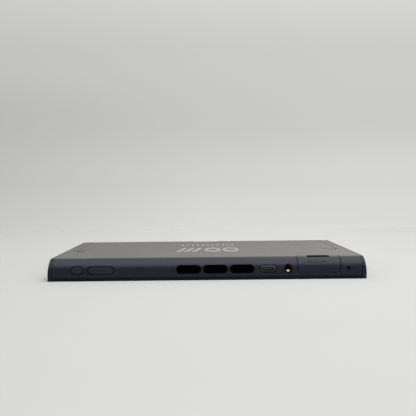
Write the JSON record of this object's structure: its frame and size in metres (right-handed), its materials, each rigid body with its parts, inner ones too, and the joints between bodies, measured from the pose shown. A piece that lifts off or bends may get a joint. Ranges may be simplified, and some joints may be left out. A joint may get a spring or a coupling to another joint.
{
  "type": "handheld game tablet",
  "caption": "Flat handheld game tablet lying on its screen, with keys, exhaust vents, sockets and a hinged card door along one side, and a hinged stand in its back.",
  "frame": {"origin": "centre of the footprint, on the plane of the display glass that lies face down", "axes": "+X along the long side towards the end with the card door, -Y out of the side with the keys and vents, +Z from the display glass to the back"},
  "size_m": [0.198, 0.116, 0.0139],
  "materials": {
    "black_glass": "polished black cover glass",
    "film": "clear adhesive film seen over black",
    "display_cell": "polarised display cell, off",
    "reflector_film": "white and silver diffuser films",
    "dark_plastic": "fine matte",
    "magnesium": "cast light metal, bead blasted",
    "cover_plastic": "fine grained matte blue-grey plastic",
    "rail_plastic": "fine grained matte blue-grey plastic",
    "key_plastic": "fine matte",
    "black_plastic": "moulded black",
    "gold_contact": "gold plated",
    "steel": "bright steel",
    "dark_steel": "blackened steel",
    "tin_plate": "plated sheet",
    "stand_metal": "matte grey coating over light metal",
    "black_rubber": "matte",
    "circuit_board": "green solder mask",
    "smoked_lens": "smoked translucent lens",
    "copper": "copper with a thin clear coat",
    "black_fins": "black anodised thin fins",
    "bronze": "sintered bronze",
    "chip_black": "moulded package",
    "battery_wrap": "dark film wrap"
  },
  "bodies": {
    "housing": {"front_glass": "black_glass", "touch_layer": "film", "lcd_panel": "display_cell", "backlight": "reflector_film", "front_frame": "dark_plastic", "mid_frame": "magnesium", "rear_cover": "cover_plastic", "left_rail": "rail_plastic", "right_rail": "rail_plastic", "left_socket": "black_plastic", "right_socket": "black_plastic", "socket_contacts": "gold_contact", "latch_plates": "steel", "rail_screws": "dark_steel", "cover_screws": "dark_steel", "left_hinge_bracket": "steel", "right_hinge_bracket": "steel", "card_reader": "tin_plate", "card_contacts": "gold_contact", "rocker_pin": "steel", "rocker_bracket": "steel", "key_board": "circuit_board", "key_switches": "tin_plate", "upper_usb_shell": "tin_plate", "upper_usb_tongue": "black_plastic", "lower_usb_shell": "tin_plate", "lower_usb_tongue": "black_plastic", "port_board": "circuit_board", "audio_jack": "black_plastic", "jack_contact_ring": "gold_contact", "light_sensor": "smoked_lens", "microphone": "tin_plate", "vent_duct": "black_plastic", "fin_stack": "black_fins", "heat_pipe": "copper", "heat_spreader": "copper", "fan_housing": "black_plastic", "fan_cover": "magnesium", "fan_bearing": "bronze", "fan_stator": "copper", "main_board": "circuit_board", "processor": "chip_black", "memory_chips": "chip_black", "board_shield": "tin_plate", "battery": "battery_wrap", "left_speaker": "black_plastic", "right_speaker": "black_plastic", "speaker_mesh": "dark_steel", "memory_card_slot": "tin_plate", "antennas": "gold_contact"},
    "stand": {"kickstand": "stand_metal", "kickstand_pads": "black_rubber", "hinge_pins": "steel"},
    "door": {"card_door": "cover_plastic", "card_door_pin": "steel"},
    "power_button": {"power_key": "key_plastic"},
    "volume_button": {"volume_rocker": "key_plastic"},
    "impeller": {"fan_rotor": "black_plastic", "fan_shaft": "steel"}
  },
  "joints": [
    {"name": "kickstand_hinge", "type": "hinge", "parent": "housing", "child": "stand", "pos_m": [0, -0.012, 0.0129], "axis": [1, 0, 0], "range_deg": [0, 150]},
    {"name": "card_door_hinge", "type": "hinge", "parent": "housing", "child": "door", "pos_m": [0.0692, -0.057, 0.0043], "axis": [1, 0, 0], "range_deg": [0, 90]},
    {"name": "power_key_press", "type": "slide", "parent": "housing", "child": "power_button", "axis": [0, 1, 0], "range_m": [0, 0.00025], "stiffness_N_per_m": 400},
    {"name": "volume_rocker_tilt", "type": "hinge", "parent": "housing", "child": "volume_button", "pos_m": [-0.0659, -0.0543, 0.0068], "axis": [0, 0, 1], "range_deg": [-2.4, 2.4], "stiffness_Nm_per_rad": 0.05},
    {"name": "fan_spin", "type": "hinge", "parent": "housing", "child": "impeller", "pos_m": [0.0049, -0.0273, 0.0065], "axis": [0, 0, 1], "continuous": true}
  ]
}
